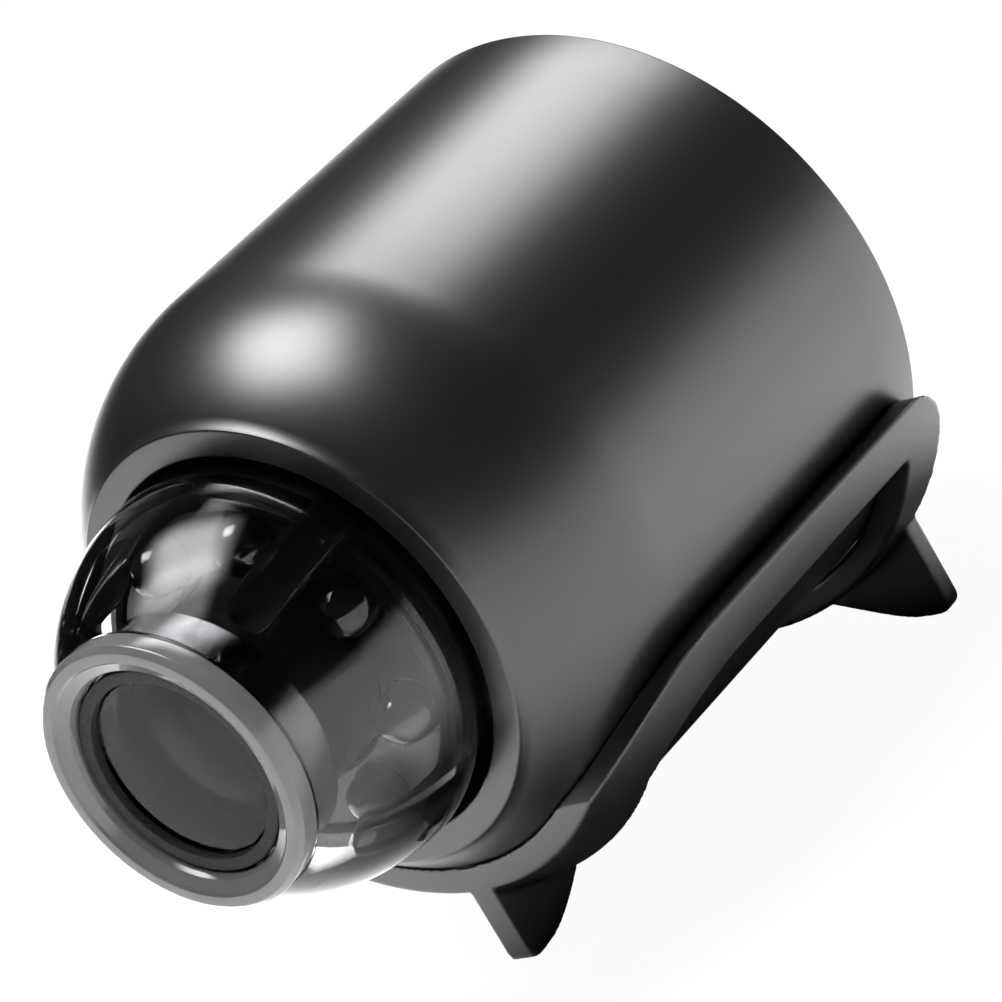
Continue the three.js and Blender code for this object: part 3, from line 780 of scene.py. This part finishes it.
def make_cradle():
    """The cradle: a sleeve round the body, cut to rails, bands and fins, with its edges softened."""
    # Inside, the seen cradle lies closer to the body than in CAD, as no light shows between them.
    near, far = CRADLE_SEEN_GAP, CRADLE_GAP + CRADLE_T
    deep = GROUND_Z - 1
    sleeve_outline = [
        (BODY_R + near, 0),
        (BODY_R + far, 0),
        *shoulder_line(far, SHOULDER_S, CRADLE_FRONT_S, 18),
        *shoulder_line(near, SHOULDER_S, CRADLE_FRONT_S, 18)[::-1],
    ]
    top = RAIL_TOP_Z
    side = [
        (-0.01, deep),
        *arc(3.0 - 0.01, top - 3.0, 3.0, 180, 90, 14),
        *bezier((23.4, top), (26.2, top), (29.3, -9.2), (CRADLE_FRONT_S, -12.4), 28),
        (CRADLE_FRONT_S + 0.01, -12.5),
        (CRADLE_FRONT_S + 0.01, deep),
    ]
    low = RAIL_LOW_Z
    window = [
        (BAND_W, deep),
        *arc(BAND_W + 0.5, low - 0.5, 0.5, 180, 90),
        *bezier((21.0, low), (24.4, low), (26.4, -11.2), (27.6, -13.4)),
        (27.6, deep),
    ]
    front_fin = [
        (CRADLE_FRONT_S - 0.02, -15.6),
        *arc(CRADLE_FRONT_S - 0.52, GROUND_Z + 0.5, 0.5, 0, -90),
        *bezier((29.3, GROUND_Z), (27.6, GROUND_Z), (25.6, -19.6), (23.9, -18.5)),
        (23.4, -17.6),
    ]
    rear_fin = [
        (REAR_FIN_X, -14.4),
        *arc(REAR_FIN_X - 0.8, GROUND_Z + 0.8, 0.8, 0, -90),
        *bezier((8.85, GROUND_Z), (7.0, GROUND_Z), (4.6, -19.4), (1.6, -18.4)),
        (1.6, -17.6),
        (5.6, -17.0),
    ]
    tongue = [(22.6, -22), (28, -22), (28, -14), (22.6, -14)]
    sides = (-21, 21)
    kept = prism(tongue, across_point, (-2, 2))
    hole = combined(prism(window, across_point, sides), ("DIFFERENCE", kept))
    steps = [("INTERSECT", prism(side, across_point, sides)), ("DIFFERENCE", hole)]
    front_sides = (-FRONT_FIN_T / 2, FRONT_FIN_T / 2)
    steps.append(("UNION", prism(front_fin, across_point, front_sides)))
    for sign in (-1, 1):
        fin = [(sign * x, z) for x, z in rear_fin]
        steps.append(("UNION", prism(fin, along_point, (0.01, REAR_FIN_T))))
    bore = [(0, -1), (BODY_R + near, -1), (BODY_R + near, 15), (0, 15)]
    steps.append(("DIFFERENCE", lathe(bore, 240)))
    obj = scratch(combined(lathe(sleeve_outline, 240), *steps))
    remesh = obj.modifiers.new("remesh", "REMESH")
    remesh.mode = "VOXEL"
    remesh.voxel_size = CRADLE_VOXEL * MM
    smooth = obj.modifiers.new("smooth", "SMOOTH")
    smooth.factor = 0.5
    smooth.iterations = 6
    return applied(obj)


finished("cradle_stand", make_cradle(), "cradle_plastic", "stand", "cradle", sharp_degrees=80)

# ---- CAD nodes that keep their shape ----
slots = {row["node"]: row["material_slot"] for row in frame["record"]["subparts"]}
for name, node in frame["nodes"].items():
    if node.hide_render:
        continue
    node.data.materials.clear()
    node.data.materials.append(LOOKS[slots[name]].material)

# ---- floor, light and camera ----
FLOOR_RADIANCE = 2.0
FLOOR_ALBEDO = 0.8
FLOOR_LIFT = 0.96
DARK_SKY = 0.022
HORIZON = (-0.06, 0.07)
SUN_TOWARDS = (-0.45, -0.3, 0.85)
SOFTBOX_DISTANCE = 0.6
CAMERA_PLACE = (0.18589, -0.16929, 0.09419)
CAMERA_RIGHT = (0.69635, 0.52776, -0.48639)
CAMERA_BACK = (0.69702, -0.65883, 0.28303)
CAMERA_LENS = 184.74
# Where the painted shadow on the floor centres, and the distances over which it fades out.
UNDER_SHADE_CENTRE = (-0.004, 0.020, 0.0)
UNDER_SHADE_EDGE = (0.017, 0.024)


def make_floor():
    mesh = mesh_from(lambda bm: bmesh.ops.create_circle(bm, cap_ends=True, segments=96, radius=4.0))
    floor = bpy.data.objects.new("floor", mesh)
    floor.location.z = -0.0002
    bpy.context.scene.collection.objects.link(floor)
    look = Look("pale_floor").colour((FLOOR_ALBEDO,) * 3, (FLOOR_ALBEDO * 0.985,) * 3, 400.0)
    look.shader.inputs["Roughness"].default_value = 0.9
    # Painted shadow: the floor is painted dark under the object and behind it, where its shade falls,
    # which only its reflections show.
    away = look.nodes.new("ShaderNodeVectorMath")
    away.operation = "DISTANCE"
    away.inputs[1].default_value = UNDER_SHADE_CENTRE
    look.links.new(look.coords, away.inputs[0])
    painted_shadow_mask = look.spread(away.outputs["Value"], 0.0, 1.0, *UNDER_SHADE_EDGE)
    base = look.shader.inputs["Base Color"]
    shade = look.nodes.new("ShaderNodeMix")
    shade.data_type = "RGBA"
    # The colour of the painted shadow.
    shade.inputs["A"].default_value = (0.02, 0.02, 0.02, 1.0)
    look.links.new(base.links[0].from_socket, shade.inputs["B"])
    look.links.new(painted_shadow_mask, shade.inputs["Factor"])
    look.links.new(shade.outputs["Result"], base)
    # What the camera sees of the floor is lifted almost to white, as on a light table, so that only a
    # faint shadow shows, while reflections in the object keep the floor's real light and shade and the
    # painted shadow under it.
    output = look.nodes["Material Output"]
    lift = look.nodes.new("ShaderNodeMixShader")
    glow = look.nodes.new("ShaderNodeEmission")
    share = look.nodes.new("ShaderNodeMath")
    share.operation = "MULTIPLY"
    share.inputs[1].default_value = FLOOR_LIFT
    path = look.nodes.new("ShaderNodeLightPath")
    look.links.new(path.outputs["Is Camera Ray"], share.inputs[0])
    look.links.new(share.outputs[0], lift.inputs["Fac"])
    look.links.new(look.shader.outputs["BSDF"], lift.inputs[1])
    look.links.new(glow.outputs["Emission"], lift.inputs[2])
    look.links.new(lift.outputs["Shader"], output.inputs["Surface"])
    mesh.materials.append(look.material)
    return floor


def make_floor_light(floor):
    """A wide soft light that reaches the floor alone."""
    data = bpy.data.lights.new("floor_light", "SUN")
    data.energy = FLOOR_RADIANCE * math.pi / FLOOR_ALBEDO
    data.angle = math.radians(35)
    light = bpy.data.objects.new("floor_light", data)
    light.rotation_mode = "QUATERNION"
    light.rotation_quaternion = Vector(SUN_TOWARDS).to_track_quat("Z", "Y")
    bpy.context.scene.collection.objects.link(light)
    receivers = bpy.data.collections.new("floor_only")
    receivers.objects.link(floor)
    light.light_linking.receiver_collection = receivers


def make_softbox(name, direction, width, height, radiance, edge=0.35):
    """A glowing panel with soft edges that faces the object."""
    mesh = mesh_from(lambda bm: bmesh.ops.create_grid(bm, x_segments=1, y_segments=1, size=0.5))
    panel = bpy.data.objects.new(name, mesh)
    bpy.context.scene.collection.objects.link(panel)
    towards = Vector(direction).normalized()
    centre = Vector((0, 0, AXIS_HEIGHT * MM))
    panel.location = centre + towards * SOFTBOX_DISTANCE
    panel.rotation_mode = "QUATERNION"
    panel.rotation_quaternion = towards.to_track_quat("Z", "Y")
    panel.scale = (width, height, 1)
    material = bpy.data.materials.new(name)
    material.use_nodes = True
    nodes, links = material.node_tree.nodes, material.node_tree.links
    nodes.clear()
    output = nodes.new("ShaderNodeOutputMaterial")
    glow = nodes.new("ShaderNodeEmission")
    coords = nodes.new("ShaderNodeTexCoord")
    split = nodes.new("ShaderNodeSeparateXYZ")
    links.new(coords.outputs["Object"], split.inputs["Vector"])
    product = nodes.new("ShaderNodeMath")
    product.operation = "MULTIPLY"
    for i, axis in enumerate(("X", "Y")):
        distance_in = nodes.new("ShaderNodeMath")
        distance_in.operation = "ABSOLUTE"
        fade = nodes.new("ShaderNodeMapRange")
        fade.interpolation_type = "SMOOTHSTEP"
        fade.inputs["From Min"].default_value = 0.5
        fade.inputs["From Max"].default_value = 0.5 - edge
        links.new(split.outputs[axis], distance_in.inputs[0])
        links.new(distance_in.outputs[0], fade.inputs["Value"])
        links.new(fade.outputs["Result"], product.inputs[i])
    power = nodes.new("ShaderNodeMath")
    power.operation = "MULTIPLY"
    power.inputs[1].default_value = radiance
    links.new(product.outputs[0], power.inputs[0])
    links.new(power.outputs[0], glow.inputs["Strength"])
    links.new(glow.outputs["Emission"], output.inputs["Surface"])
    mesh.materials.append(material)
    panel.visible_camera = False
    panel.visible_shadow = False


def make_world():
    """Dark above the horizon and bright below it, with a white background for the camera."""
    world = bpy.data.worlds.new("studio")
    bpy.context.scene.world = world
    world.use_nodes = True
    nodes, links = world.node_tree.nodes, world.node_tree.links
    background = nodes["Background"]
    coords = nodes.new("ShaderNodeTexCoord")
    split = nodes.new("ShaderNodeSeparateXYZ")
    links.new(coords.outputs["Generated"], split.inputs["Vector"])
    level = nodes.new("ShaderNodeMapRange")
    level.interpolation_type = "SMOOTHSTEP"
    level.inputs["From Min"].default_value, level.inputs["From Max"].default_value = HORIZON
    level.inputs["To Min"].default_value = FLOOR_RADIANCE
    level.inputs["To Max"].default_value = DARK_SKY
    links.new(split.outputs["Z"], level.inputs["Value"])
    plain = nodes.new("ShaderNodeBackground")
    plain.inputs["Color"].default_value = (1, 1, 1, 1)
    plain.inputs["Strength"].default_value = 1.0
    links.new(level.outputs["Result"], background.inputs["Strength"])
    background.inputs["Color"].default_value = (1, 1, 1, 1)
    path = nodes.new("ShaderNodeLightPath")
    mix = nodes.new("ShaderNodeMixShader")
    links.new(path.outputs["Is Camera Ray"], mix.inputs["Fac"])
    links.new(background.outputs["Background"], mix.inputs[1])
    links.new(plain.outputs["Background"], mix.inputs[2])
    links.new(mix.outputs["Shader"], nodes["World Output"].inputs["Surface"])


def make_camera():
    """The camera at the photograph's place and angle."""
    data = bpy.data.cameras.new("camera")
    data.lens = CAMERA_LENS
    data.sensor_width = 36.0
    data.clip_start = 0.01
    data.clip_end = 20.0
    camera = bpy.data.objects.new("camera", data)
    bpy.context.scene.collection.objects.link(camera)
    right = Vector(CAMERA_RIGHT)
    back = Vector(CAMERA_BACK).normalized()
    up = back.cross(right).normalized()
    right = up.cross(back)
    basis = Matrix((right, up, back)).transposed().to_4x4()
    camera.matrix_world = Matrix.Translation(CAMERA_PLACE) @ basis
    bpy.context.scene.camera = camera


make_floor_light(make_floor())
make_softbox("softbox_behind", (-0.11, 0.72, 0.70), 0.50, 0.26, 14.0)
make_softbox("softbox_overhead", (-0.14, -0.05, 0.985), 0.53, 0.50, 24.5)
make_world()
make_camera()
bpy.context.scene.view_settings.view_transform = "Standard"
